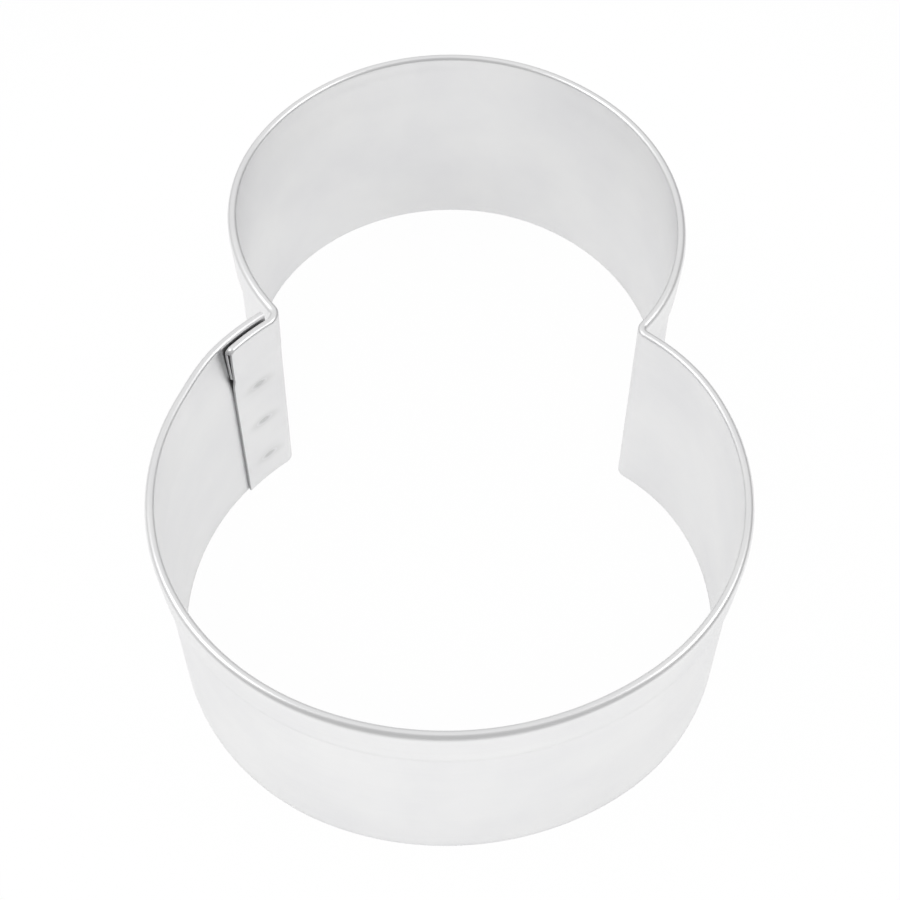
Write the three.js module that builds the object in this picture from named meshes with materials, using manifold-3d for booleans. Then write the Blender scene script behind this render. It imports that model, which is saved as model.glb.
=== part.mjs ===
// Number cookie cutter: one strip of tinplate stood on edge and bent to the outline of an 8.
// The top edge is folded outward into a hem, and the ends lap at the left waist under spot welds.
import * as THREE from 'three';
import { mergeVertices } from 'three/addons/utils/BufferGeometryUtils.js';
import Module from 'manifold-3d';

// Strip, in millimetres
const depth = 22.3;             // cutting edge to the top of the rim
const sheet = 0.3;              // tinplate thickness
const hemHeight = 4.4;          // top of the rim down to the raw edge of the fold
const foldRadius = 0.15;        // inside radius of the fold
const rawEdgeGap = 0.08;        // left between the raw edge and the wall

// Outline of the wall's inner face, in millimetres and degrees counter-clockwise from +X
const bellyRadius = 27.3;       // middle of the lower lobe
const bellyLeftAngle = 22;      // either side of straight down
const bellyRightAngle = 35;
const leftHipRadius = 22.85;    // sides of the lower lobe
const rightHipRadius = 22;
const crownRadius = 20.5;       // top of the upper lobe
const crownHalfAngle = 30;
const leftShoulderRadius = 20.5;
const rightShoulderRadius = 22.2;
const lobeSpacing = 27.2;       // belly centre to crown centre
const crownOffset = 0.4;        // the upper lobe sits a little to the right
const neckRadius = 17.5;        // both lobes tighten towards the right waist
const lowerNeckAngle = 24;
const upperNeckAngle = -18;
const creaseRadius = 0.3;       // left outside the rim in the crook of each waist

// Lap joint at the left waist: the end of the upper lobe lies inside the end of the lower lobe
const lapLength = 5.35;
const lapGap = 0.08;            // between the lapped walls
const rimLapGap = 0.25;         // between the lapped rims, which spring apart
const outerEndGap = 0.1;        // the outer end stops short of the upper lobe's rim
const flareHeight = 1.9;        // the tab starts to lean inward this far under its hem
const waistTilt = 0.5;          // past the lap the whole wall leans in, most at the rim
const tiltFade = 22;            // the tilt dies out along the upper lobe
const tabCornerRadius = 0.8;

// Spot welds through the lap
const weldNames = ['spot_weld_low', 'spot_weld_middle', 'spot_weld_high'];
const weldLength = 2;
const weldHeight = 0.9;
const weldInset = 2.1;          // weld column from the outer end of the strip
const weldFit = 0.03;
const weldDent = 0.06;          // electrode mark on both faces
const weldDentShare = 0.6;      // flat middle of the mark, as a share of the weld
const lowWeldRise = 3.3;        // above the cutting edge
const highWeldDrop = 1.4;       // under the start of the flare

// Fineness of the facets
const lobeStep = 6;             // degrees
const bendSides = 8;
const innerFoldSides = 4;
const outerFoldSides = 8;
const cornerSides = 4;
const weldSides = 16;

const tinplate = { color: 0xdadcdd, roughness: 0.34, metalness: 1 };
const weldSteel = { color: 0xb9bcbe, roughness: 0.5, metalness: 1 };

const outerFoldRadius = foldRadius + sheet;
const rimThickness = 2 * outerFoldRadius;
const waistRadius = rimThickness + creaseRadius;
const hemEdge = depth - hemHeight;
const flareStart = hemEdge - flareHeight;
const radians = THREE.MathUtils.degToRad;

function pointAt(centre, radius, angle) {
  return new THREE.Vector2(Math.cos(angle), Math.sin(angle)).multiplyScalar(radius).add(centre);
}

function bearing(from, to) {
  return Math.atan2(to.y - from.y, to.x - from.x);
}

// A circle that runs on smoothly from another at the given angle
function tangentCircle(circle, angle, radius) {
  return { centre: pointAt(circle.centre, circle.radius - radius, angle), radius };
}

// The point on both circles that lies left (side 1) or right (side -1) of the line joining them
function circlesMeet(first, second, side) {
  const between = second.centre.clone().sub(first.centre);
  const distance = between.length();
  const along = (distance ** 2 + first.radius ** 2 - second.radius ** 2) / (2 * distance);
  const across = Math.sqrt(first.radius ** 2 - along ** 2) * side;
  between.divideScalar(distance);
  return new THREE.Vector2(
    first.centre.x + between.x * along - between.y * across,
    first.centre.y + between.y * along + between.x * across,
  );
}

function grown(circle, amount) {
  return { centre: circle.centre, radius: circle.radius + amount };
}

// The bend of a waist touches both lobes from outside
function waistBend(lower, upper, side) {
  return {
    centre: circlesMeet(grown(lower, waistRadius), grown(upper, waistRadius), side),
    radius: waistRadius,
  };
}

// Circles of the outline
const belly = { centre: new THREE.Vector2(0, 0), radius: bellyRadius };
const crown = { centre: new THREE.Vector2(crownOffset, lobeSpacing), radius: crownRadius };
const leftHip = tangentCircle(belly, radians(-90 - bellyLeftAngle), leftHipRadius);
const rightHip = tangentCircle(belly, radians(-90 + bellyRightAngle), rightHipRadius);
const lowerNeck = tangentCircle(rightHip, radians(lowerNeckAngle), neckRadius);
const leftShoulder = tangentCircle(crown, radians(90 + crownHalfAngle), leftShoulderRadius);
const rightShoulder = tangentCircle(crown, radians(90 - crownHalfAngle), rightShoulderRadius);
const upperNeck = tangentCircle(rightShoulder, radians(upperNeckAngle), neckRadius);
const tab = grown(leftHip, -sheet - lapGap);
const leftWaist = waistBend(tab, leftShoulder, 1);
const rightWaist = waistBend(lowerNeck, upperNeck, -1);

// The outer end stops where its rim would meet the rim of the upper lobe
const outerEndCorner = circlesMeet(
  grown(leftHip, rimThickness),
  grown(leftShoulder, rimThickness + outerEndGap),
  1,
);
const outerEndAngle = bearing(leftHip.centre, outerEndCorner);
const tabEndAngle = outerEndAngle + lapLength / leftHip.radius;
const tabCornerAngle = tabEndAngle - tabCornerRadius / tab.radius;
const weldAngle = outerEndAngle + weldInset / leftHip.radius;

// Stretches of the strip in order, clockwise round the 8 from the end of the tab.
// Lobes turn clockwise with the outside away from the centre, waists the other way.
const stretches = [
  { circle: tab, from: tabEndAngle, to: tabCornerAngle, sides: cornerSides },
  { circle: tab, from: tabCornerAngle, to: bearing(tab.centre, leftWaist.centre) },
  {
    circle: leftWaist,
    from: bearing(leftWaist.centre, tab.centre),
    to: bearing(leftWaist.centre, leftShoulder.centre),
    waist: true,
    sides: bendSides,
  },
  {
    circle: leftShoulder,
    from: bearing(leftShoulder.centre, leftWaist.centre) + 2 * Math.PI,
    to: radians(90 + crownHalfAngle),
  },
  { circle: crown, from: radians(90 + crownHalfAngle), to: radians(90 - crownHalfAngle) },
  { circle: rightShoulder, from: radians(90 - crownHalfAngle), to: radians(upperNeckAngle) },
  { circle: upperNeck, from: radians(upperNeckAngle), to: bearing(upperNeck.centre, rightWaist.centre) },
  {
    circle: rightWaist,
    from: bearing(rightWaist.centre, upperNeck.centre),
    to: bearing(rightWaist.centre, lowerNeck.centre) + 2 * Math.PI,
    waist: true,
    sides: bendSides,
  },
  { circle: lowerNeck, from: bearing(lowerNeck.centre, rightWaist.centre), to: radians(lowerNeckAngle) },
  { circle: rightHip, from: radians(lowerNeckAngle), to: radians(-90 + bellyRightAngle) },
  { circle: belly, from: radians(-90 + bellyRightAngle), to: radians(-90 - bellyLeftAngle) },
  { circle: leftHip, from: radians(-90 - bellyLeftAngle), to: outerEndAngle - 2 * Math.PI },
];

// Runs from the tab's end to the outer end of the strip, and to the end of the left waist's bend
const lapRun = (tabEndAngle - outerEndAngle) * tab.radius;
const waistRun = stretches
  .slice(0, 3)
  .reduce((run, { circle, from, to }) => run + Math.abs(to - from) * circle.radius, 0);

// Section of the strip as outward distance and height, round the sheet from the cutting edge
function stripSection(topDrop, run) {
  const foldCentre = depth - topDrop - outerFoldRadius;
  const points = [];
  const add = (outward, height) => points.push(new THREE.Vector2(outward, height));
  add(sheet, 0);
  add(sheet, flareStart);
  add(sheet, hemEdge);
  for (let i = 0; i <= innerFoldSides; i += 1) {
    const angle = Math.PI * (1 - i / innerFoldSides);
    add(outerFoldRadius + foldRadius * Math.cos(angle), foldCentre + foldRadius * Math.sin(angle));
  }
  add(sheet + rawEdgeGap, hemEdge);
  add(2 * sheet + rawEdgeGap, hemEdge);
  for (let i = 0; i <= outerFoldSides; i += 1) {
    const angle = (Math.PI * i) / outerFoldSides;
    add(outerFoldRadius * (1 + Math.cos(angle)), foldCentre + outerFoldRadius * Math.sin(angle));
  }
  add(0, hemEdge);
  add(0, flareStart);
  add(0, 0);
  points.forEach((point) => {
    point.x -= stripLean(run, point.y);
  });
  return points;
}

// The tab's hem pushes its wall inward: enough at the raw edge and at the rim to clear the outer wall
function tabLean(height) {
  const leanAtEdge = sheet + rawEdgeGap;
  const leanAtRim = rimThickness - sheet + rimLapGap - lapGap;
  if (height <= flareStart) return 0;
  if (height <= hemEdge) return (leanAtEdge * (height - flareStart)) / flareHeight;
  return THREE.MathUtils.lerp(leanAtEdge, leanAtRim, (height - hemEdge) / hemHeight);
}

// Inward lean at a height: the tab's flare turns into a plain tilt round the left waist and dies out
function stripLean(run, height) {
  const settled = THREE.MathUtils.smoothstep(run, lapRun, waistRun);
  const faded = THREE.MathUtils.smoothstep(run, waistRun, waistRun + tiltFade);
  const tilt = (waistTilt * height) / depth;
  return THREE.MathUtils.lerp(tabLean(height), tilt, settled) * (1 - faded);
}

// Places along the strip: an angle on one of the circles, and the run from the tab's end
function stripStations() {
  const stations = [{ circle: tab, angle: tabEndAngle, run: 0 }];
  stretches.forEach(({ circle, from, to, waist, sides }) => {
    const turn = to - from;
    const steps = sides ?? Math.ceil(Math.abs(turn) / radians(lobeStep));
    const stride = (Math.abs(turn) * circle.radius) / steps;
    for (let i = 1; i <= steps; i += 1) {
      const run = stations.at(-1).run + stride;
      stations.push({ circle, angle: from + (turn * i) / steps, run, waist });
    }
  });
  return stations;
}

// The section is swept along the stations and closed with a cap at each end
function bandGeometry() {
  const rings = stripStations().map(({ circle, angle, run, waist }) => {
    const inset = Math.max(0, tabCornerRadius - run);
    const topDrop = tabCornerRadius - Math.sqrt(tabCornerRadius ** 2 - inset ** 2);
    const section = stripSection(topDrop, run);
    const points = section.map(({ x, y }) => {
      const flat = pointAt(circle.centre, waist ? circle.radius - x : circle.radius + x, angle);
      return new THREE.Vector3(flat.x, flat.y, y);
    });
    return { section, points };
  });
  const count = rings[0].points.length;
  const index = [];
  rings.slice(1).forEach((ring, i) => {
    for (let j = 0; j < count; j += 1) {
      const next = (j + 1) % count;
      const here = i * count;
      const ahead = here + count;
      index.push(here + j, here + next, ahead + next, here + j, ahead + next, ahead + j);
    }
  });
  const lastRing = (rings.length - 1) * count;
  THREE.ShapeUtils.triangulateShape(rings[0].section, []).forEach(([a, b, c]) => index.push(c, b, a));
  THREE.ShapeUtils.triangulateShape(rings.at(-1).section, []).forEach(([a, b, c]) => {
    index.push(lastRing + a, lastRing + b, lastRing + c);
  });
  const geometry = new THREE.BufferGeometry().setFromPoints(rings.flatMap((ring) => ring.points));
  geometry.setIndex(index);
  return geometry;
}

const wasm = await Module();
wasm.setup();

function toSolid(geometry) {
  const bare = geometry.clone();
  bare.deleteAttribute('normal');
  bare.deleteAttribute('uv');
  const merged = mergeVertices(bare);
  return new wasm.Manifold(new wasm.Mesh({
    numProp: 3,
    vertProperties: new Float32Array(merged.attributes.position.array),
    triVerts: new Uint32Array(merged.index.array),
  }));
}

function fromSolid(solid) {
  const mesh = solid.getMesh();
  const geometry = new THREE.BufferGeometry();
  geometry.setAttribute('position', new THREE.BufferAttribute(mesh.vertProperties, 3));
  geometry.setIndex(new THREE.BufferAttribute(mesh.triVerts, 1));
  return geometry;
}

// Welds stand in a column through the lap, their axes square to the sheet
const weldThickness = 2 * sheet + lapGap;
const weldPitch = (flareStart - highWeldDrop - lowWeldRise) / (weldNames.length - 1);

function weldPlace(i) {
  const outward = pointAt(new THREE.Vector2(), 1, weldAngle);
  const middle = pointAt(leftHip.centre, leftHip.radius - lapGap / 2, weldAngle);
  const upward = new THREE.Vector3(0, 0, 1);
  const across = new THREE.Vector3(outward.x, outward.y, 0);
  const along = new THREE.Vector3().crossVectors(across, upward);
  return new THREE.Matrix4()
    .makeBasis(along, across, upward)
    .setPosition(middle.x, middle.y, lowWeldRise + weldPitch * i);
}

// An oval slug: the middle of each face is pressed in by the electrode
function weldGeometry() {
  const half = weldThickness / 2;
  const profile = [
    new THREE.Vector2(0, weldDent - half),
    new THREE.Vector2(weldDentShare, weldDent - half),
    new THREE.Vector2(1, -half),
    new THREE.Vector2(1, half),
    new THREE.Vector2(weldDentShare, half - weldDent),
    new THREE.Vector2(0, half - weldDent),
  ];
  return new THREE.LatheGeometry(profile, weldSides).scale(weldLength / 2, 1, weldHeight / 2);
}

// The oval hole for a weld, long enough to pass through both walls
function weldHoleGeometry() {
  const length = 2 * weldThickness;
  const oval = new THREE.Shape();
  oval.absellipse(0, 0, weldLength / 2 + weldFit, weldHeight / 2 + weldFit, 0, 2 * Math.PI);
  const options = { depth: length, curveSegments: weldSides, bevelEnabled: false };
  return new THREE.ExtrudeGeometry(oval, options).translate(0, 0, -length / 2).rotateX(-Math.PI / 2);
}

function namedMesh(name, geometry, material) {
  const mesh = new THREE.Mesh(geometry, new THREE.MeshStandardMaterial(material));
  mesh.name = name;
  return mesh;
}

function buildCutter() {
  const cutter = new THREE.Group();
  let band = toSolid(bandGeometry());
  weldNames.forEach((name, i) => {
    const place = weldPlace(i);
    band = band.subtract(toSolid(weldHoleGeometry().applyMatrix4(place)));
    cutter.add(namedMesh(name, weldGeometry().applyMatrix4(place), weldSteel));
  });
  cutter.add(namedMesh('band', fromSolid(band), tinplate));

  // Stand the cutter on its cutting edge with the middle of its box over the origin
  const middle = new THREE.Box3().setFromObject(cutter).getCenter(new THREE.Vector3());
  cutter.position.set(-middle.x, -middle.y, 0);
  return cutter;
}

export default buildCutter();
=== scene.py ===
# Number cookie cutter: a hemmed tinplate strip bent to an 8, lapped and spot-welded at the left waist
import math
import bpy
import numpy as np
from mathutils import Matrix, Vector


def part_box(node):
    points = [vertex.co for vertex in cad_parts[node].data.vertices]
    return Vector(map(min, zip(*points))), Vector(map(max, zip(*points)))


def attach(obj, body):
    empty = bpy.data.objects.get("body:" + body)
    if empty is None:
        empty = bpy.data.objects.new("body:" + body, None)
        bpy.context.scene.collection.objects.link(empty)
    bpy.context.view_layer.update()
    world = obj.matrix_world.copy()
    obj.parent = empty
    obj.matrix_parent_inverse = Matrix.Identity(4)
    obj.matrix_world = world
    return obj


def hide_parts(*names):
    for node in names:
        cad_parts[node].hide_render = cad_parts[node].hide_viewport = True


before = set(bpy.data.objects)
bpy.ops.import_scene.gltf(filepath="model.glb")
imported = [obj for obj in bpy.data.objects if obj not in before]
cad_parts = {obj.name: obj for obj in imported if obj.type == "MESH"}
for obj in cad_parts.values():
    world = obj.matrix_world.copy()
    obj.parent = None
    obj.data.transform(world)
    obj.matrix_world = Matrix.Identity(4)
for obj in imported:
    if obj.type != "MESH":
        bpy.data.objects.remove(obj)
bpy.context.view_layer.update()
mm = 0.001
turn = math.radians(360)
scene = bpy.context.scene
scene.view_settings.view_transform = "Standard"
print("frame loaded:", sorted(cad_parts))


# sRGB hex code to linear colour
def hexToLinear(code):
    channels = [int(code[i:i + 2], 16) / 255 for i in (1, 3, 5)]
    linear = [c / 12.92 if c <= 0.04045 else ((c + 0.055) / 1.055) ** 2.4 for c in channels]
    return (*linear, 1.0)


# adds a node, sets its sockets and properties, then links its inputs
def addNode(tree, kind, settings, links=None):
    node = tree.nodes.new(kind)
    for name, value in settings.items():
        if isinstance(name, int) or name in node.inputs:
            node.inputs[name].default_value = value
        else:
            setattr(node, name, value)
    for name, output in (links or {}).items():
        tree.links.new(output, node.inputs[name])
    return node


def newMaterial(name):
    material = bpy.data.materials.new(name)
    material.use_nodes = True
    material.node_tree.nodes.clear()
    return material, material.node_tree


def smoothStep(value, low, high):
    share = np.clip((value - low) / (high - low), 0, 1)
    return share * share * (3 - 2 * share)


# tinplate: cold-rolled steel strip with a bright flow-melted tin coat
# the eye gets a pale, soft mirror, drawn out a little along the rolling direction
tinplateLook = {
    "bright": "#f3f3f3",
    "bloom": "#eeeeef",            # cloudier tin
    "cutSteel": "#b2b3b4",         # bare steel where the strip was sheared
    "heatTint": "#e9e9e9",         # tin dulled round the welds
    "bloomSize": 9.0,              # mm
    "bloomStart": 0.35,            # noise level where the cloudier tin begins
    "bloomFull": 0.7,
    "lineLength": 30.0,            # mm
    "lineSpacing": 0.35,           # mm, real rolling lines are about 0.03 mm, drawn coarser to show
    "lineDepth": 0.0012,           # mm
    "lineLow": 0.3,                # noise levels of the smoothest and the roughest lines
    "lineHigh": 0.7,
    "roughness": 0.34,
    "roughnessSpread": 0.05,
    "heatRoughness": 0.12,         # added round the welds
}


def makeTinplate(look):
    material, tree = newMaterial("rolledTinplate")
    run = addNode(tree, "ShaderNodeAttribute", {"attribute_name": "stripRun"}).outputs["Fac"]
    rise = addNode(tree, "ShaderNodeAttribute", {"attribute_name": "stripRise"}).outputs["Fac"]
    heat = addNode(tree, "ShaderNodeAttribute", {"attribute_name": "weldHeat"}).outputs["Fac"]
    cut = addNode(tree, "ShaderNodeAttribute", {"attribute_name": "shearedEdge"}).outputs["Fac"]

    # both patterns lie on the strip as it was before it was bent, in mm
    onStrip = addNode(tree, "ShaderNodeCombineXYZ", {}, {"X": run, "Y": rise}).outputs["Vector"]
    bloomScale = 1 / look["bloomSize"]
    bloom = addNode(tree, "ShaderNodeTexNoise", {"Scale": bloomScale, "Detail": 3.0, "Roughness": 0.5},
                    {"Vector": onStrip}).outputs["Fac"]
    drawnOut = (1 / look["lineLength"], 1 / look["lineSpacing"], 1.0)
    alongLines = addNode(tree, "ShaderNodeVectorMath", {"operation": "MULTIPLY", 1: drawnOut},
                         {0: onStrip}).outputs["Vector"]
    lines = addNode(tree, "ShaderNodeTexNoise", {"Scale": 1.0, "Detail": 2.0, "Roughness": 0.6},
                    {"Vector": alongLines}).outputs["Fac"]

    cloud = addNode(tree, "ShaderNodeMapRange",
                    {"From Min": look["bloomStart"], "From Max": look["bloomFull"]},
                    {"Value": bloom}).outputs["Result"]
    tin = addNode(tree, "ShaderNodeMix", {"data_type": "RGBA", 6: hexToLinear(look["bright"]),
                                          7: hexToLinear(look["bloom"])}, {0: cloud}).outputs[2]
    heated = addNode(tree, "ShaderNodeMix", {"data_type": "RGBA", 7: hexToLinear(look["heatTint"])},
                     {0: heat, 6: tin}).outputs[2]
    colour = addNode(tree, "ShaderNodeMix", {"data_type": "RGBA", 7: hexToLinear(look["cutSteel"])},
                     {0: cut, 6: heated}).outputs[2]

    lowRough = look["roughness"] - look["roughnessSpread"]
    highRough = look["roughness"] + look["roughnessSpread"]
    rolled = addNode(tree, "ShaderNodeMapRange",
                     {"From Min": look["lineLow"], "From Max": look["lineHigh"], "To Min": lowRough,
                      "To Max": highRough}, {"Value": lines}).outputs["Result"]
    rough = addNode(tree, "ShaderNodeMath", {"operation": "MULTIPLY_ADD", 1: look["heatRoughness"]},
                    {0: heat, 2: rolled}).outputs["Value"]
    bump = addNode(tree, "ShaderNodeBump", {"Strength": 1.0, "Distance": look["lineDepth"] * mm},
                   {"Height": lines}).outputs["Normal"]
    shader = addNode(tree, "ShaderNodeBsdfPrincipled", {"Metallic": 1.0},
                     {"Base Color": colour, "Roughness": rough, "Normal": bump})
    addNode(tree, "ShaderNodeOutputMaterial", {}, {"Surface": shader.outputs["BSDF"]})
    return material


# resistance spot weld: tin driven off and the steel pressed flat under the electrode
# the eye gets a small, greyer, rougher oval
weldLook = {
    "tin": "#f0f0f1",              # still on the rim of the weld
    "pressed": "#e2e2e2",
    "scorched": "#cfcfcf",
    "grainSize": 0.25,             # mm
    "grainDepth": 0.004,           # mm
    "roughnessLow": 0.37,
    "roughnessHigh": 0.57,
}


def makeWeldSteel(look):
    material, tree = newMaterial("spotWeldedSteel")
    place = addNode(tree, "ShaderNodeTexCoord", {}).outputs["Object"]
    grainScale = 1 / (look["grainSize"] * mm)
    grain = addNode(tree, "ShaderNodeTexNoise", {"Scale": grainScale, "Detail": 3.0},
                    {"Vector": place}).outputs["Fac"]
    mark = addNode(tree, "ShaderNodeAttribute", {"attribute_name": "weldMark"}).outputs["Fac"]
    steel = addNode(tree, "ShaderNodeMix", {"data_type": "RGBA", 6: hexToLinear(look["pressed"]),
                                            7: hexToLinear(look["scorched"])}, {0: grain}).outputs[2]
    colour = addNode(tree, "ShaderNodeMix", {"data_type": "RGBA", 6: hexToLinear(look["tin"])},
                     {0: mark, 7: steel}).outputs[2]
    rough = addNode(tree, "ShaderNodeMapRange",
                    {"To Min": look["roughnessLow"], "To Max": look["roughnessHigh"]},
                    {"Value": grain}).outputs["Result"]
    bump = addNode(tree, "ShaderNodeBump", {"Strength": 1.0, "Distance": look["grainDepth"] * mm},
                   {"Height": grain}).outputs["Normal"]
    shader = addNode(tree, "ShaderNodeBsdfPrincipled", {"Metallic": 1.0},
                     {"Base Color": colour, "Roughness": rough, "Normal": bump})
    addNode(tree, "ShaderNodeOutputMaterial", {}, {"Surface": shader.outputs["BSDF"]})
    return material


# the 8 as a chain of arcs, in mm and degrees, on the inner face of the wall
outline = {
    "bellyRadius": 27.3,
    "bellyLeftAngle": 22,
    "bellyRightAngle": 35,
    "leftHipRadius": 22.85,
    "rightHipRadius": 22,
    "crownRadius": 20.5,
    "crownHalfAngle": 30,
    "leftShoulderRadius": 20.5,
    "rightShoulderRadius": 22.2,
    "lobeSpacing": 27.2,
    "crownOffset": 0.4,
    "neckRadius": 17.5,
    "lowerNeckAngle": 24,
    "upperNeckAngle": -18,
    "waistRadius": 1.2,
    "lapLength": 5.05,
    "lapGap": 0.08,
    "outerEndGap": 0.1,
    "lobeStep": 1.0,               # between sections
    "lapStep": 0.1,
    "bendStep": 0.08,
    "cornerStep": 0.04,
    "endStep": 0.02,
    "endTurn": 0.005,              # radians of the outer end that take the finest step
}

# the folded sheet, in mm
strip = {
    "depth": 22.3,
    "sheet": 0.3,
    "hemHeight": 4.4,
    "foldRadius": 0.15,
    "foldTop": 0.38,               # outside radius of the fold on the wall's side and over the top
    "hemEase": 3,                  # the hem's side is fuller and eases off into the leg
    "rawEdgeGap": 0.08,
    "rimLapGap": 0.25,
    "flareHeight": 1.4,
    "flareEase": 0.4,              # rounds off the bend at the foot of the flare
    "waistTilt": 0.5,
    "tiltFade": 22.0,
    "tabCornerRadius": 0.45,
    "rimSpring": 0.4,              # the lapped rims lean outward, above the welds
    "springFoot": 15.0,
    "springLength": 6.5,           # and settle along the lower lobe
    "tabPress": 0.05,              # the welds draw the tab against the wall behind it
    "pressFade": 2.0,              # below the flare
    "edgeEase": 0.05,              # sheared edges, slightly rounded
    "easeShares": (0.0, 0.15, 0.5, 1.0),  # rows of points on a rounded edge
    "bareShare": 0.2,              # part of a rounded edge that shows bare steel
    "wallStep": 1.0,               # between rows of points up the wall
    "flareRows": 12,
    "hemRows": 8,
    "foldRows": 31,
    "foldSamples": 181,
    "legRows": 9,
    "sharpAngle": 50,              # degrees
    "faceShift": 40,               # keeps the two faces from showing the same pattern
}

# slow unevenness of a hand-formed wall, in mm, none in the lap
wave = {
    "size": 0.03,
    "fadeIn": 15,                  # after the left waist
    "fadeOutFrom": 22,             # before the outer end
    "fadeOutTo": 8,
    "longPitch": 9.5,              # mm along the strip for a radian
    "longShift": 1.1,
    "longFoot": 0.3,               # share of it at the cutting edge
    "shortPitch": 4.3,
    "shortShift": 0.4,
    "shortTwist": 2.3,             # radians from the cutting edge to the rim
    "shortShare": 0.6,
}

# spot welds, in mm
welds = {
    "names": ["spot_weld_low", "spot_weld_middle", "spot_weld_high"],
    "inset": 2.1,
    "length": 2.0,
    "height": 0.9,
    "dent": 0.045,                 # depth of the electrode mark
    "markShare": 0.95,             # the mark, as a share of the weld
    "markFloor": 0.4,              # its flat middle, as a share of the mark
    "pocket": 0.11,                # the band's own hollow under the weld's face
    "pocketFloor": 0.7,            # where its side begins, 1 is the weld's outline
    "pocketEdge": 0.98,
    "heatStart": 0.8,              # dulled tin, 1 is the weld's outline
    "heatReach": 0.9,
    "rowReach": 0.7,               # finer rows of points on the band, above and below the middle
    "rows": 15,
    "sides": 48,
    "rings": 8,
    "sharpAngle": 40,              # degrees
}
weldHeights = [sum(corner.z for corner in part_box(name)) / 2 / mm for name in welds["names"]]


def unit(angle):
    return np.array([math.cos(angle), math.sin(angle)])


def bearing(start, end):
    return math.atan2(end[1] - start[1], end[0] - start[0])


# a circle is its centre and its radius, and this one runs on smoothly from another at an angle
def tangentCircle(circle, angle, radius):
    centre, size = circle
    return centre + (size - radius) * unit(angle), radius


# where two circles cross, left (1) or right (-1) of the line between their centres
def circlesMeet(first, second, side):
    between = second[0] - first[0]
    distance = np.linalg.norm(between)
    along = (distance ** 2 + first[1] ** 2 - second[1] ** 2) / (2 * distance)
    across = math.sqrt(first[1] ** 2 - along ** 2) * side
    forward = between / distance
    return first[0] + forward * along + np.array([-forward[1], forward[0]]) * across


def grown(circle, amount):
    return circle[0], circle[1] + amount


def waistBend(lower, upper, radius, side):
    return circlesMeet(grown(lower, radius), grown(upper, radius), side), radius


rimThickness = 2 * (strip["foldRadius"] + strip["sheet"])
hemEdge = strip["depth"] - strip["hemHeight"]
flareStart = hemEdge - strip["flareHeight"]

belly = (np.zeros(2), outline["bellyRadius"])
crown = (np.array([outline["crownOffset"], outline["lobeSpacing"]]), outline["crownRadius"])
leftHipAngle = math.radians(-90 - outline["bellyLeftAngle"])
rightHipAngle = math.radians(-90 + outline["bellyRightAngle"])
leftShoulderAngle = math.radians(90 + outline["crownHalfAngle"])
rightShoulderAngle = math.radians(90 - outline["crownHalfAngle"])
lowerNeckAngle = math.radians(outline["lowerNeckAngle"])
upperNeckAngle = math.radians(outline["upperNeckAngle"])
leftHip = tangentCircle(belly, leftHipAngle, outline["leftHipRadius"])
rightHip = tangentCircle(belly, rightHipAngle, outline["rightHipRadius"])
lowerNeck = tangentCircle(rightHip, lowerNeckAngle, outline["neckRadius"])
leftShoulder = tangentCircle(crown, leftShoulderAngle, outline["leftShoulderRadius"])
rightShoulder = tangentCircle(crown, rightShoulderAngle, outline["rightShoulderRadius"])
upperNeck = tangentCircle(rightShoulder, upperNeckAngle, outline["neckRadius"])
tab = grown(leftHip, -strip["sheet"] - outline["lapGap"])
leftWaist = waistBend(tab, leftShoulder, outline["waistRadius"], 1)
rightWaist = waistBend(lowerNeck, upperNeck, outline["waistRadius"], -1)
outerEndCorner = circlesMeet(grown(leftHip, rimThickness),
                             grown(leftShoulder, rimThickness + outline["outerEndGap"]), 1)
outerEndAngle = bearing(leftHip[0], outerEndCorner)
tabEndAngle = outerEndAngle + outline["lapLength"] / leftHip[1]
tabCornerAngle = tabEndAngle - strip["tabCornerRadius"] / tab[1]
weldAngle = outerEndAngle + welds["inset"] / leftHip[1]
lastTurnAngle = outerEndAngle - turn + outline["endTurn"]

# the middle weld of the frame says where the outline stands
weldSpot = leftHip[0] + (leftHip[1] - outline["lapGap"] / 2) * unit(weldAngle)
low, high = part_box(welds["names"][1])
outlineShift = np.array((low + high)[:2]) / 2 / mm - weldSpot

# circle, first angle, last angle, step, and 1 on a lobe or -1 on a waist, clockwise from the tab's end
stretches = [
    (tab, tabEndAngle, tabCornerAngle, outline["cornerStep"], 1),
    (tab, tabCornerAngle, bearing(tab[0], leftWaist[0]), outline["lapStep"], 1),
    (leftWaist, bearing(leftWaist[0], tab[0]), bearing(leftWaist[0], leftShoulder[0]),
     outline["bendStep"], -1),
    (leftShoulder, bearing(leftShoulder[0], leftWaist[0]) + turn, leftShoulderAngle,
     outline["lobeStep"], 1),
    (crown, leftShoulderAngle, rightShoulderAngle, outline["lobeStep"], 1),
    (rightShoulder, rightShoulderAngle, upperNeckAngle, outline["lobeStep"], 1),
    (upperNeck, upperNeckAngle, bearing(upperNeck[0], rightWaist[0]), outline["lobeStep"], 1),
    (rightWaist, bearing(rightWaist[0], upperNeck[0]), bearing(rightWaist[0], lowerNeck[0]) + turn,
     outline["bendStep"], -1),
    (lowerNeck, bearing(lowerNeck[0], rightWaist[0]), lowerNeckAngle, outline["lobeStep"], 1),
    (rightHip, lowerNeckAngle, rightHipAngle, outline["lobeStep"], 1),
    (belly, rightHipAngle, leftHipAngle, outline["lobeStep"], 1),
    (leftHip, leftHipAngle, tabEndAngle - turn, outline["lobeStep"], 1),
    (leftHip, tabEndAngle - turn, lastTurnAngle, outline["lapStep"], 1),
    (leftHip, lastTurnAngle, outerEndAngle - turn, outline["endStep"], 1),
]
arcLengths = [abs(end - start) * circle[1] for circle, start, end, step, side in stretches]
lapRun = (tabEndAngle - outerEndAngle) * tab[1]
waistRun = sum(arcLengths[:3])     # to the far end of the left waist's bend
stripLength = sum(arcLengths)


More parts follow.
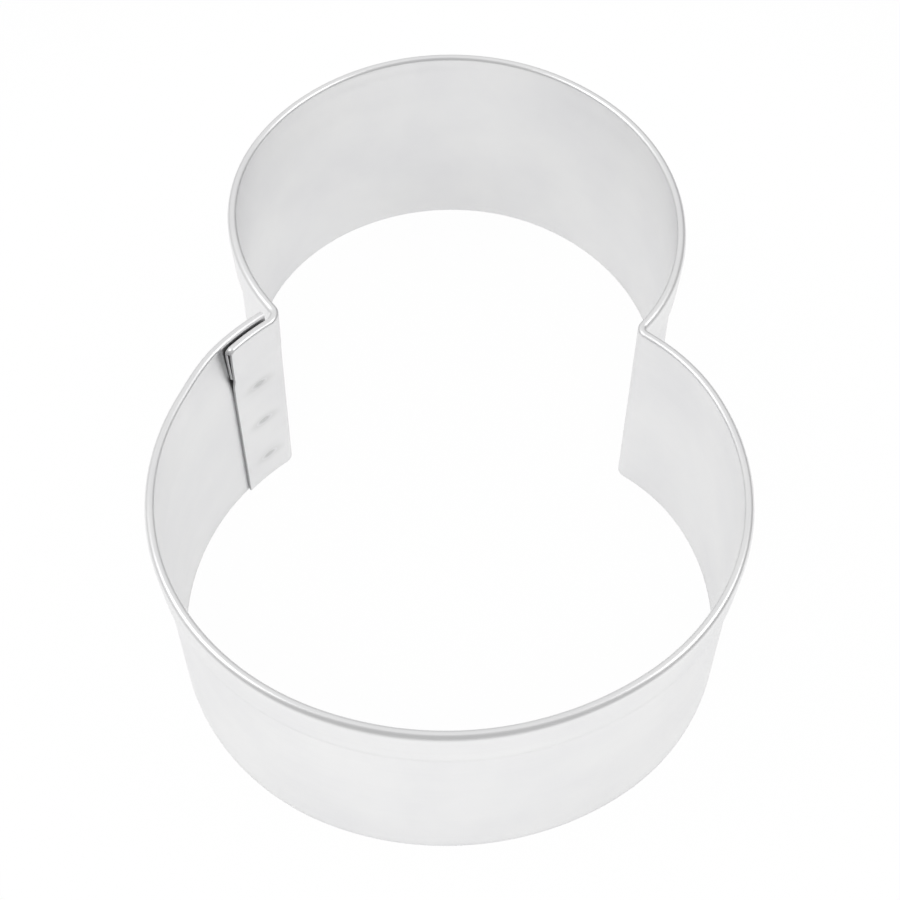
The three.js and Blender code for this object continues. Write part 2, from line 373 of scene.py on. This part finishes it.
# one row for each section: run, centre x, centre y, radius, angle, side
def stripStations():
    rows = []
    done = 0.0
    for (circle, start, end, step, side), length in zip(stretches, arcLengths):
        count = math.ceil(length / step)
        for i in range(0 if not rows else 1, count + 1):
            share = i / count
            rows.append((done + length * share, *circle[0], circle[1], start + (end - start) * share, side))
        done += length
    return np.array(rows)


# middle line of the folded sheet: up the wall, over the fold and down the return leg
# each row: outward, height, normal outward, normal height, distance to the nearer sheared edge,
# and share of the drop at the tab's rounded top corner
def sheetMidline():
    half = strip["sheet"] / 2
    foldAxis = strip["foldRadius"] + strip["sheet"]
    turns = np.linspace(0, math.pi, strip["foldSamples"])
    fullness = 2 * (foldAxis - strip["foldTop"]) * (strip["hemEase"] + 1)
    radii = strip["foldTop"] + fullness * np.maximum(0, -np.cos(turns)) ** strip["hemEase"]
    spread = np.cumsum(radii * np.sin(turns)) * (turns[1] - turns[0])
    climb = np.cumsum(radii * np.cos(turns)) * (turns[1] - turns[0])
    foldCentre = strip["depth"] - climb.max()
    hemRise = foldCentre - hemEdge
    legLean = math.atan2(2 * strip["foldRadius"] - strip["rawEdgeGap"], hemRise)
    easeRows = [strip["edgeEase"] * share for share in strip["easeShares"]]

    levels = set(easeRows)
    levels.update(np.arange(strip["wallStep"], hemEdge, strip["wallStep"]))
    levels.update(np.linspace(flareStart - strip["wallStep"], hemEdge, strip["flareRows"]))
    for middle in weldHeights:
        levels.update(np.linspace(middle - welds["rowReach"], middle + welds["rowReach"], welds["rows"]))
    levels.update(np.linspace(hemEdge, foldCentre, strip["hemRows"]))
    levels = sorted(set(round(float(level), 4) for level in levels))

    rows = [(half, z, 1.0, 0.0, z, max(0.0, (z - hemEdge) / hemRise)) for z in levels]
    for angle in np.linspace(0, math.pi + legLean, strip["foldRows"])[1:]:
        away = -unit(-angle)
        x = np.interp(angle, turns, spread) * 2 * foldAxis / spread[-1]
        z = foldCentre + np.interp(angle, turns, climb)
        rows.append((x - half * away[0], z - half * away[1], -away[0], -away[1], strip["hemHeight"], 1.0))
    legTop = np.array(rows[-1][:2])
    legLength = (legTop[1] - hemEdge) / math.cos(legLean)
    legDown = np.array([-math.sin(legLean), -math.cos(legLean)])
    legLevels = np.linspace(legLength, strip["edgeEase"], strip["legRows"])[1:]
    for left in [*legLevels, *easeRows[-2::-1]]:
        place = legTop + legDown * (legLength - left)
        drop = (place[1] - hemEdge) / hemRise
        rows.append((*place, -math.cos(legLean), math.sin(legLean), left, drop))
    return np.array(rows)


# the tab's hem pushes its wall inward
def tabLean(height):
    edgeLean = strip["sheet"] + strip["rawEdgeGap"]
    rimLean = rimThickness - strip["sheet"] + strip["rimLapGap"] - outline["lapGap"]
    lowSlope = edgeLean / strip["flareHeight"]
    highSlope = (rimLean - edgeLean) / strip["hemHeight"]
    above = height - flareStart
    foot = (np.sqrt(above ** 2 + strip["flareEase"] ** 2) + above) / 2
    return lowSlope * foot + (highSlope - lowSlope) * np.maximum(0, height - hemEdge)


# inward lean: the flare turns into a plain tilt round the left waist and dies out
def stripLean(run, height):
    settled = smoothStep(run, lapRun, waistRun)
    faded = smoothStep(run, waistRun, waistRun + strip["tiltFade"])
    tilt = strip["waistTilt"] * height / strip["depth"]
    press = strip["tabPress"] * (1 - smoothStep(height, flareStart - strip["pressFade"], flareStart))
    spring = strip["rimSpring"] * smoothStep(height, strip["springFoot"], strip["depth"])
    endRun = stripLength - outline["lapLength"]
    atOuterEnd = smoothStep(run, endRun - strip["springLength"], endRun)
    tabPart = (tabLean(height) - press - spring) * (1 - settled)
    return (tabPart + tilt * settled) * (1 - faded) - spring * atOuterEnd


def wallWave(run, height):
    started = smoothStep(run, waistRun, waistRun + wave["fadeIn"])
    ended = smoothStep(run, stripLength - wave["fadeOutFrom"], stripLength - wave["fadeOutTo"])
    rise = height / strip["depth"]
    longPart = np.sin(run / wave["longPitch"] + wave["longShift"])
    longPart = longPart * (wave["longFoot"] + (1 - wave["longFoot"]) * rise)
    shortPart = np.sin(run / wave["shortPitch"] + wave["shortTwist"] * rise + wave["shortShift"])
    return wave["size"] * started * (1 - ended) * (longPart + wave["shortShare"] * shortPart)


# 0 in the middle of a weld and 1 at its outline
def weldDistance(along, height, middle):
    return np.hypot(along / (welds["length"] / 2), (height - middle) / (welds["height"] / 2))


# how far a rounded edge takes off each face, by the distance to the edge
def edgeLoss(distance):
    ease = strip["edgeEase"]
    return ease - np.sqrt(np.maximum(0, ease ** 2 - np.maximum(0, ease - distance) ** 2))


def buildBand():
    stations = stripStations()
    run, centreX, centreY, radius, angle, side = (column[:, None] for column in stations.T)
    outward, height, normalOut, normalUp, toEdge, dropShare = (row[None, :] for row in sheetMidline().T)
    toEnd = np.minimum(run, stripLength - run)
    half = strip["sheet"] / 2 - np.maximum(edgeLoss(toEdge), edgeLoss(toEnd))
    inset = np.maximum(0, strip["tabCornerRadius"] - run)
    topDrop = strip["tabCornerRadius"] - np.sqrt(strip["tabCornerRadius"] ** 2 - inset ** 2)

    onTab = run < waistRun
    onOuterEnd = run > stripLength - 2 * outline["lapLength"]
    turned = np.where(onTab, angle - weldAngle, angle - weldAngle + turn)
    along = turned * radius
    places = []
    heat = np.zeros((len(run), outward.shape[1]))
    for face in (1, -1):               # 1 outside the wall and inside the fold, -1 the other face
        x = outward + face * normalOut * half
        z = height + face * normalUp * half - topDrop * dropShare
        x = x - stripLean(run, z) + wallWave(run, z)
        marked = onTab if face < 0 else onOuterEnd
        for middle in weldHeights:
            distance = weldDistance(along, z, middle)
            hollow = welds["pocket"] * (1 - smoothStep(distance, welds["pocketFloor"], welds["pocketEdge"]))
            onWall = (z < flareStart) & (outward < strip["sheet"])
            x = x - face * np.where(marked & onWall, hollow, 0)
            glow = np.exp(-(np.maximum(0, distance - welds["heatStart"]) / welds["heatReach"]) ** 2)
            heat = np.maximum(heat, np.where((onTab | onOuterEnd) & onWall, glow, 0))
        reach = radius + side * x
        places.append(np.stack([centreX + np.cos(angle) * reach + outlineShift[0],
                                centreY + np.sin(angle) * reach + outlineShift[1],
                                np.broadcast_to(z, reach.shape)], axis=2))

    # round the section: up one face and over the fold, then back along the other face
    rings = np.concatenate([places[0], places[1][:, ::-1]], axis=1)
    count = rings.shape[1]
    faces = []
    for i in range(len(rings) - 1):
        here = i * count
        ahead = here + count
        for j in range(count):
            nextJ = (j + 1) % count
            faces.append((here + j, here + nextJ, ahead + nextJ, ahead + j))
    last = (len(rings) - 1) * count
    for j in range(count // 2 - 1):
        ends = (j, count - 1 - j, count - 2 - j, j + 1)
        faces.append(ends)
        faces.append(tuple(last + corner for corner in reversed(ends)))

    mesh = bpy.data.meshes.new("hemmedBand")
    mesh.from_pydata((rings.reshape(-1, 3) * mm).tolist(), [], faces)
    mesh.validate()
    mesh.shade_smooth()
    mesh.set_sharp_from_angle(angle=math.radians(strip["sharpAngle"]))

    bareReach = strip["edgeEase"] * strip["bareShare"]
    sheared = np.maximum(toEdge < bareReach, toEnd < bareReach) * 1.0
    sectionSteps = np.hypot(np.diff(outward[0], prepend=outward[0, 0]), np.diff(height[0], prepend=0))
    sectionLength = np.cumsum(sectionSteps)[None, :]
    full = np.ones((len(run), outward.shape[1]))
    marks = {
        "stripRun": (run * full, run * full),
        "stripRise": (sectionLength * full, (sectionLength + strip["faceShift"]) * full),
        "weldHeat": (heat, heat),
        "shearedEdge": (sheared * full, sheared * full),
    }
    for name, (first, second) in marks.items():
        values = np.concatenate([first, second[:, ::-1]], axis=1).ravel().astype(np.float32)
        mesh.attributes.new(name, "FLOAT", "POINT").data.foreach_set("value", values)

    band = bpy.data.objects.new("hemmedBand", mesh)
    scene.collection.objects.link(band)
    return band


# an oval slug through the lap, both faces pressed in by the electrodes and bent with the wall
def buildWeld(name):
    bottom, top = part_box(name)
    middle = np.array((bottom + top) / 2) / mm
    outwardAxis = np.array([*unit(weldAngle), 0.0])
    alongAxis = np.array([-outwardAxis[1], outwardAxis[0], 0.0])
    thickness = 2 * strip["sheet"] + outline["lapGap"]
    sides = welds["sides"]
    rounds = np.linspace(0, 1, welds["rings"] + 1)
    spin = np.linspace(0, turn, sides, endpoint=False)
    marks = 1 - smoothStep(rounds, welds["markShare"] * welds["markFloor"], welds["markShare"])

    points = []
    pressed = []
    faces = []
    for face in (-1, 1):               # -1 on the tab, 1 on the outer end
        first = len(points)
        press = strip["tabPress"] if face < 0 else 0
        points.append((0.0, face * (thickness / 2 - welds["dent"]) + press, 0.0))
        pressed.append(1.0)
        for share, mark in zip(rounds[1:], marks[1:]):
            for angle in spin:
                along = share * math.cos(angle) * welds["length"] / 2
                rise = share * math.sin(angle) * welds["height"] / 2
                bend = along ** 2 / (2 * leftHip[1])
                points.append((along, face * (thickness / 2 - welds["dent"] * mark) + press - bend, rise))
                pressed.append(mark)
        for i in range(sides):
            j = (i + 1) % sides
            middleFace = (first, first + 1 + i, first + 1 + j)
            faces.append(middleFace if face > 0 else middleFace[::-1])
            for ring in range(welds["rings"] - 1):
                inner = first + 1 + ring * sides
                outer = inner + sides
                quad = (inner + i, outer + i, outer + j, inner + j)
                faces.append(quad if face > 0 else quad[::-1])
    perFace = 1 + welds["rings"] * sides
    rim = perFace - sides
    for i in range(sides):
        j = (i + 1) % sides
        faces.append((rim + i, rim + j, perFace + rim + j, perFace + rim + i))

    placed = [middle + alongAxis * a + outwardAxis * o + np.array([0, 0, r]) for a, o, r in points]
    mesh = bpy.data.meshes.new(name + "_nugget")
    mesh.from_pydata([tuple(p * mm) for p in placed], [], faces)
    mesh.validate()
    mesh.shade_smooth()
    mesh.set_sharp_from_angle(angle=math.radians(welds["sharpAngle"]))
    mesh.attributes.new("weldMark", "FLOAT", "POINT").data.foreach_set("value", pressed)
    weld = bpy.data.objects.new(name + "_nugget", mesh)
    scene.collection.objects.link(weld)
    return weld


tinplate = makeTinplate(tinplateLook)
weldSteel = makeWeldSteel(weldLook)

band = buildBand()
band.data.materials.append(tinplate)
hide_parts("band")
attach(band, "root")
print("band:", len(band.data.vertices), "vertices")

for name in welds["names"]:
    weld = buildWeld(name)
    weld.data.materials.append(weldSteel)
    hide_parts(name)
    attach(weld, "root")
print("welds:", len(welds["names"]))


# matt white paper sweep under the cutter, burnt out to white for the camera, with a pool of light painted
# into its colour and into the white the metal mirrors
floorLook = {
    "paper": "#f7f7f7",
    "mottle": "#f4f4f4",           # thicker pulp
    "mottleSize": 10.0,            # mm
    # painted shade: past the pool of light the paper's colour is darkened
    "paintedDimPaper": "#c0c0c0",         # past the lamps' pool of light
    "poolInner": 0.06,             # m from the middle
    "poolOuter": 0.13,
    "halfSide": 2.0,               # m
    "shownShare": 0.97,            # how far the camera sees it burnt out to white
    "mirroredShare": 0.43,         # the same in the metal
}


def buildFloor(look):
    half = look["halfSide"]
    corners = [(-half, -half, 0), (half, -half, 0), (half, half, 0), (-half, half, 0)]
    mesh = bpy.data.meshes.new("paperFloor")
    mesh.from_pydata(corners, [], [(0, 1, 2, 3)])
    floor = bpy.data.objects.new("paperFloor", mesh)
    scene.collection.objects.link(floor)
    material, tree = newMaterial("paperWithPaintedPool")
    # the noise takes generated coordinates, which run from 0 to 1 across the floor
    mottleScale = 2 * half / (look["mottleSize"] * mm)
    mottle = addNode(tree, "ShaderNodeTexNoise", {"Scale": mottleScale, "Detail": 2.0}).outputs["Fac"]
    paper = addNode(tree, "ShaderNodeMix", {"data_type": "RGBA", 6: hexToLinear(look["paper"]),
                                            7: hexToLinear(look["mottle"])}, {0: mottle}).outputs[2]
    place = addNode(tree, "ShaderNodeTexCoord", {}).outputs["Object"]
    away = addNode(tree, "ShaderNodeVectorMath", {"operation": "LENGTH"}, {0: place}).outputs["Value"]
    # painted pool of light: the paper's colour darkens from poolInner to poolOuter, and the metal sees the
    # burnt-out white only inside the pool
    pool = addNode(tree, "ShaderNodeMapRange",
                   {"interpolation_type": "SMOOTHSTEP", "From Min": look["poolOuter"],
                    "From Max": look["poolInner"]}, {"Value": away}).outputs["Result"]
    paintedPoolColour = addNode(tree, "ShaderNodeMix", {"data_type": "RGBA", 6: hexToLinear(look["paintedDimPaper"])},
                     {0: pool, 7: paper}).outputs[2]
    lit = addNode(tree, "ShaderNodeBsdfDiffuse", {}, {"Color": paintedPoolColour}).outputs["BSDF"]
    white = addNode(tree, "ShaderNodeEmission", {"Strength": 1.0}).outputs["Emission"]
    path = addNode(tree, "ShaderNodeLightPath", {}).outputs
    shown = addNode(tree, "ShaderNodeMath", {"operation": "MULTIPLY", 1: look["shownShare"]},
                    {0: path["Is Camera Ray"]}).outputs["Value"]
    mirrored = addNode(tree, "ShaderNodeMath", {"operation": "MAXIMUM"},
                       {0: path["Is Glossy Ray"], 1: path["Is Transmission Ray"]}).outputs["Value"]
    mirroredPaintedPool = addNode(tree, "ShaderNodeMath", {"operation": "MULTIPLY"},
                           {0: mirrored, 1: pool}).outputs["Value"]
    share = addNode(tree, "ShaderNodeMath", {"operation": "MULTIPLY_ADD", 1: look["mirroredShare"]},
                    {0: mirroredPaintedPool, 2: shown}).outputs["Value"]
    mixed = addNode(tree, "ShaderNodeMixShader", {}, {0: share, 1: lit, 2: white}).outputs["Shader"]
    addNode(tree, "ShaderNodeOutputMaterial", {}, {"Surface": mixed})
    mesh.materials.append(material)


buildFloor(floorLook)

# camera, from a fit to the rim and the cutting edge in the photograph, in mm and degrees
view = {
    "target": (0.047, 4.464, 0.0),
    "distance": 174.19,
    "elevation": 54.7,
    "lens": 68.83,
    "sensor": 36,
    "clipStart": 1.0,
}
cameraRise = math.radians(view["elevation"])
target = Vector(view["target"]) * mm
towardCamera = Vector((0, -math.cos(cameraRise), math.sin(cameraRise)))
camera = bpy.data.objects.new("camera", bpy.data.cameras.new("camera"))
camera.data.sensor_width = view["sensor"]
camera.data.lens = view["lens"]
camera.data.clip_start = view["clipStart"] * mm
camera.location = target + towardCamera * view["distance"] * mm
camera.rotation_euler = (-towardCamera).to_track_quat("-Z", "Y").to_euler()
scene.collection.objects.link(camera)
scene.camera = camera

# softboxes: azimuth 0 is behind the camera and 90 is to the right, in degrees, then metres and brightness
softboxes = {
    "left": {"azimuth": 275, "elevation": 42, "distance": 0.75, "side": 0.45,
             "brightness": 1.2, "mirrored": True},
    "right": {"azimuth": 85, "elevation": 42, "distance": 0.75, "side": 0.4,
              "brightness": 1.2, "mirrored": True},
    "front": {"azimuth": 0, "elevation": 58, "distance": 0.9, "side": 0.6,
              "brightness": 2.25, "mirrored": False},
}
for name, box in softboxes.items():
    lamp = bpy.data.lights.new(name + "Softbox", "AREA")
    lamp.size = box["side"]
    lamp.energy = box["brightness"] * math.pi * box["side"] ** 2
    azimuth = math.radians(box["azimuth"])
    elevation = math.radians(box["elevation"])
    across = Vector((math.sin(azimuth), -math.cos(azimuth), 0)) * math.cos(elevation)
    away = across + Vector((0, 0, math.sin(elevation)))
    holder = bpy.data.objects.new(name + "Softbox", lamp)
    holder.location = away * box["distance"]
    holder.rotation_euler = (-away).to_track_quat("-Z", "Y").to_euler()
    holder.visible_glossy = box["mirrored"]
    scene.collection.objects.link(holder)

# light tent: white cloth overhead, dimmer on the open camera side and low down on the right
# the ranges are parts of a direction of length 1: to the right, away from the camera and up
tent = {
    "overhead": "#ececec",
    "lowLeft": "#e6e6e6",
    "lowRight": "#a4a4a4",
    "front": "#c2c2c2",
    "backdrop": "#ffffff",         # what the camera sees past the floor
    "rightStart": -0.3,
    "rightFull": 0.7,
    "frontStart": -0.15,
    "frontFull": -0.6,
    "overheadStart": 0.0,
    "overheadFull": 0.75,
}
world = bpy.data.worlds.new("lightTent")
world.use_nodes = True
tree = world.node_tree
tree.nodes.clear()
direction = addNode(tree, "ShaderNodeTexCoord", {}).outputs["Generated"]
parts = addNode(tree, "ShaderNodeSeparateXYZ", {}, {"Vector": direction}).outputs
fades = {}
for name, axis in (("right", "X"), ("front", "Y"), ("overhead", "Z")):
    fades[name] = addNode(tree, "ShaderNodeMapRange",
                          {"interpolation_type": "SMOOTHSTEP", "From Min": tent[name + "Start"],
                           "From Max": tent[name + "Full"]}, {"Value": parts[axis]}).outputs["Result"]
lowCloth = addNode(tree, "ShaderNodeMix", {"data_type": "RGBA", 6: hexToLinear(tent["lowLeft"]),
                                           7: hexToLinear(tent["lowRight"])}, {0: fades["right"]}).outputs[2]
closed = addNode(tree, "ShaderNodeMix", {"data_type": "RGBA", 7: hexToLinear(tent["overhead"])},
                 {0: fades["overhead"], 6: lowCloth}).outputs[2]
cloth = addNode(tree, "ShaderNodeMix", {"data_type": "RGBA", 7: hexToLinear(tent["front"])},
                {0: fades["front"], 6: closed}).outputs[2]
glow = addNode(tree, "ShaderNodeBackground", {"Strength": 1.0}, {"Color": cloth}).outputs["Background"]
backdrop = addNode(tree, "ShaderNodeBackground", {"Color": hexToLinear(tent["backdrop"]),
                                                  "Strength": 1.0}).outputs["Background"]
seen = addNode(tree, "ShaderNodeLightPath", {}).outputs["Is Camera Ray"]
shown = addNode(tree, "ShaderNodeMixShader", {}, {0: seen, 1: glow, 2: backdrop}).outputs["Shader"]
addNode(tree, "ShaderNodeOutputWorld", {}, {"Surface": shown})
scene.world = world
print("floor, camera, softboxes and tent ready")
